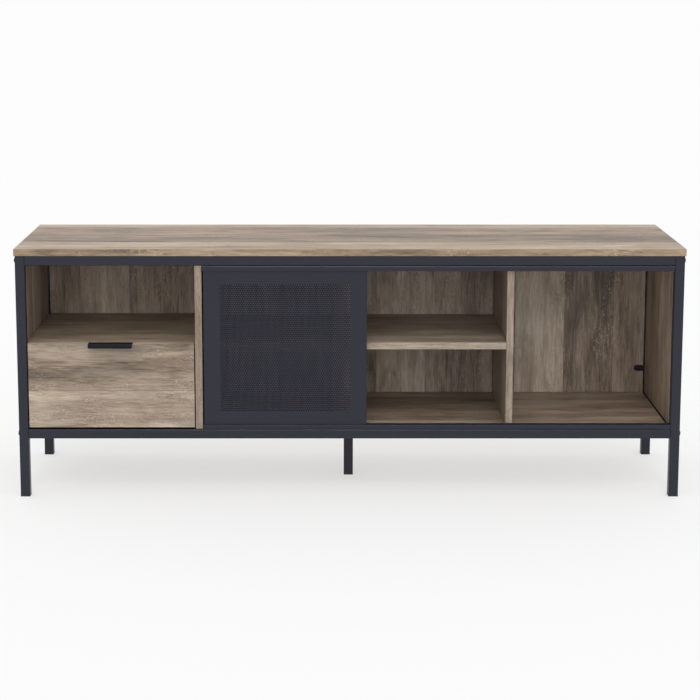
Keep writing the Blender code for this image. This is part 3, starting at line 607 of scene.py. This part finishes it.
def hole_centres(low, high):
    """Middles of staggered holes that fill a rectangle, in rows that lie in each other's gaps."""
    row_pitch = HOLE_PITCH * math.sqrt(3) / 2
    columns = int((high[0] - low[0] - 2 * HOLE_RADIUS) / HOLE_PITCH) + 1
    rows = int((high[1] - low[1] - 2 * HOLE_RADIUS) / row_pitch) + 1
    start_x = (low[0] + high[0] - (columns - 1) * HOLE_PITCH) / 2
    start_z = (low[1] + high[1] - (rows - 1) * row_pitch) / 2
    for row in range(rows):
        odd = row % 2
        for column in range(columns - odd):
            yield start_x + (column + odd / 2) * HOLE_PITCH, start_z + row * row_pitch


def circle(centre, radius, sides):
    points = []
    for step in range(sides):
        angle = TAU * step / sides
        points.append((centre[0] + radius * math.cos(angle), centre[1] + radius * math.sin(angle)))
    return points


def perforated_door(finishes):
    """The folded sheet of the door with its field of punched holes."""
    low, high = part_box("door_panel")
    corners = (low.x, low.z), (high.x, high.z)
    build = bmesh.new()
    outlines = [rounded_rectangle(*corners, SHEET_BEND, DOOR_CORNER - SHEET_BEND)]
    field = (low.x + HOLE_MARGIN, low.z + HOLE_MARGIN), (high.x - HOLE_MARGIN, high.z - HOLE_MARGIN)
    outlines += [circle(centre, HOLE_RADIUS, HOLE_SIDES) for centre in hole_centres(*field)]
    front = [loop_of(build, outline, low.y) for outline in outlines]
    edges = [edge for ring in front for edge in ring_edges(build, ring)]
    bmesh.ops.triangle_fill(build, use_beauty=False, edges=edges, normal=(0, -1, 0))
    faces = build.faces[:]
    behind = [loop_of(build, outline, low.y + SHEET) for outline in outlines]
    twin = {}
    for ring, copy in zip(front, behind):
        twin.update(zip(ring, copy))
    for face in faces:
        build.faces.new([twin[vert] for vert in reversed(face.verts)])
    for ring, copy in zip(front[1:], behind[1:]):
        bridge(build, ring, copy)

    rings = [front[0]]
    for step in range(1, BEND_STEPS + 1):
        angle = TAU / 4 * step / BEND_STEPS
        inset = SHEET_BEND * (1 - math.sin(angle))
        depth = low.y + SHEET_BEND * (1 - math.cos(angle))
        rings.append(loop_of(build, rounded_rectangle(*corners, inset, DOOR_CORNER - inset), depth))
    rings.append(loop_of(build, rounded_rectangle(*corners, 0, DOOR_CORNER), high.y))
    inner = rounded_rectangle(*corners, SHEET, DOOR_CORNER - SHEET)
    rings.append(loop_of(build, inner, high.y))
    rings.append(loop_of(build, inner, low.y + SHEET_BEND))
    rings.append(behind[0])
    for first, second in zip(rings, rings[1:]):
        bridge(build, first, second)
    item = new_piece("perforated_door", build, finishes["door_coat"], "door", ["door_panel"])
    item.data.shade_smooth()
    item.data.set_sharp_from_angle(angle=SHEET_SHARP)


def track_tacks(finishes):
    """Short weld beads in the seam between each track and its rail."""
    for track, rail, side in (("top_track", "front_top_rail", 0), ("bottom_track", "front_bottom_rail", 1)):
        track_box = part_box(track)
        seam = (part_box(rail)[side].z + track_box[1 - side].z) / 2
        depth = track_box[0].y
        start, end = track_box[0].x + TACK_INSET, track_box[1].x - TACK_INSET
        build = bmesh.new()
        for number in range(TACKS):
            made = bmesh.ops.create_icosphere(build, subdivisions=3, radius=1.0)["verts"]
            middle = Vector((start + (end - start) * number / (TACKS - 1), depth, seam))
            for vert in made:
                ripple = 1 + TACK_RIPPLE * math.cos(vert.co.x * TACK_RIPPLES + number)
                vert.co = middle + Vector(a * b * ripple for a, b in zip(vert.co, TACK_SIZE))
        item = new_piece(f"{track}_tacks", build, finishes["powder_coat"], "stand")
        item.data.shade_smooth()


def recess_reach(shape, angle):
    """How far the hexagon or cross in a head reaches at an angle."""
    if shape["recess"] == "hexagon":
        return HEXAGON_FLAT / math.cos((angle % (TAU / 6)) - TAU / 12)
    from_arm = abs((angle + TAU / 8) % (TAU / 4) - TAU / 8)
    if from_arm < CROSS_SLOT / CROSS_ARM:
        return CROSS_ARM
    return min(CROSS_ARM, CROSS_SLOT / math.sin(from_arm))


def fastener_ring(build, middle, axis, along, reach_at):
    """A ring round a fastener's axis, whose radius may change with the angle."""
    across, up = (other for other in range(3) if other != axis)
    ring = []
    for step in range(HEAD_SIDES):
        angle = TAU * step / HEAD_SIDES
        point = list(middle)
        point[across] += reach_at(angle) * math.cos(angle)
        point[up] += reach_at(angle) * math.sin(angle)
        point[axis] = along
        ring.append(build.verts.new(point))
    return ring


def fastener(name, material, axis, outward, shape):
    """A round-headed fastener with a recess in its head, in the place of a packed one."""
    low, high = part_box(name)
    middle = (low + high) / 2
    tip, crown = (low[axis], high[axis]) if outward > 0 else (high[axis], low[axis])
    seat = crown - outward * shape["head"]
    width = max(high[other] - low[other] for other in range(3) if other != axis)
    profile = [(shape["radius"], tip), (shape["radius"], seat), (width / 2, seat)]
    for step in range(DOME_STEPS - 1):
        turn = TAU / 4 * step / DOME_STEPS
        height = HEAD_RIM + (1 - HEAD_RIM) * math.sin(turn)
        profile.append((width / 2 * math.cos(turn), seat + (crown - seat) * height))
    build = bmesh.new()
    rings = [fastener_ring(build, middle, axis, along, lambda _: radius) for radius, along in profile]
    for along in (crown, crown - outward * shape["depth"]):
        rings.append(fastener_ring(build, middle, axis, along, lambda angle: recess_reach(shape, angle)))
    for first, second in zip(rings, rings[1:]):
        bridge(build, first, second)
    build.faces.new(rings[0])
    build.faces.new(rings[-1])
    item = new_piece(f"{name}_detailed", build, material, "stand", [name])
    item.data.shade_smooth()
    item.data.set_sharp_from_angle(angle=HEAD_SHARP)


def fasteners(finishes):
    """The bolts, which look out to each side, and the back panels' screws, which look to the front."""
    for name in sorted(frame["nodes"]):
        if "_bolt_" in name:
            fastener(name, finishes["black_fastener"], 0, 1 if name.endswith("right") else -1, BOLT)
        elif name.startswith("back_panel_screw"):
            fastener(name, finishes["black_fastener"], 1, -1, SCREW)


def stage_and_camera():
    """A pale floor, soft studio light, and the camera."""
    scene = bpy.context.scene
    scene.view_settings.view_transform = "Standard"
    world = bpy.data.worlds.new("studio")
    scene.world = world
    world.use_nodes = True
    background = world.node_tree.nodes["Background"]
    background.inputs["Color"].default_value = (1.0, 1.0, 1.0, 1.0)
    background.inputs["Strength"].default_value = WORLD_LIGHT

    build = bmesh.new()
    bmesh.ops.create_grid(build, x_segments=1, y_segments=1, size=FLOOR_REACH)
    mesh = bpy.data.meshes.new("studio_floor")
    build.to_mesh(mesh)
    build.free()
    floor = bpy.data.objects.new("studio_floor", mesh)
    scene.collection.objects.link(floor)
    material, _, _ = principled(
        "pale_floor",
        Base_Color=(FLOOR_GREY, FLOOR_GREY, FLOOR_GREY),
        Roughness=0.9,
        Specular_IOR_Level=0.0,
        Emission_Color=(1.0, 1.0, 1.0),
        Emission_Strength=FLOOR_GLOW,
    )
    mesh.materials.append(material)

    for name, (elevation, strength, size) in SUNS.items():
        data = bpy.data.lights.new(name, "SUN")
        data.angle = size
        data.energy = strength
        lamp = bpy.data.objects.new(name, data)
        lamp.rotation_euler = (math.radians(90 - elevation), 0, 0)
        scene.collection.objects.link(lamp)

    data = bpy.data.cameras.new("camera")
    data.lens = CAMERA_LENS
    data.shift_x, data.shift_y = CAMERA_SHIFT
    camera = bpy.data.objects.new("camera", data)
    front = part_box("front_top_rail")[0].y
    camera.location = (CAMERA_SIDE, front - CAMERA_BEFORE_FRAME, CAMERA_HEIGHT)
    camera.rotation_euler = (math.pi / 2 - CAMERA_TILT, 0, 0)
    scene.collection.objects.link(camera)
    scene.camera = camera


finishes = make_finishes()
dress_frame(finishes)
perforated_door(finishes)
track_tacks(finishes)
fasteners(finishes)
stage_and_camera()
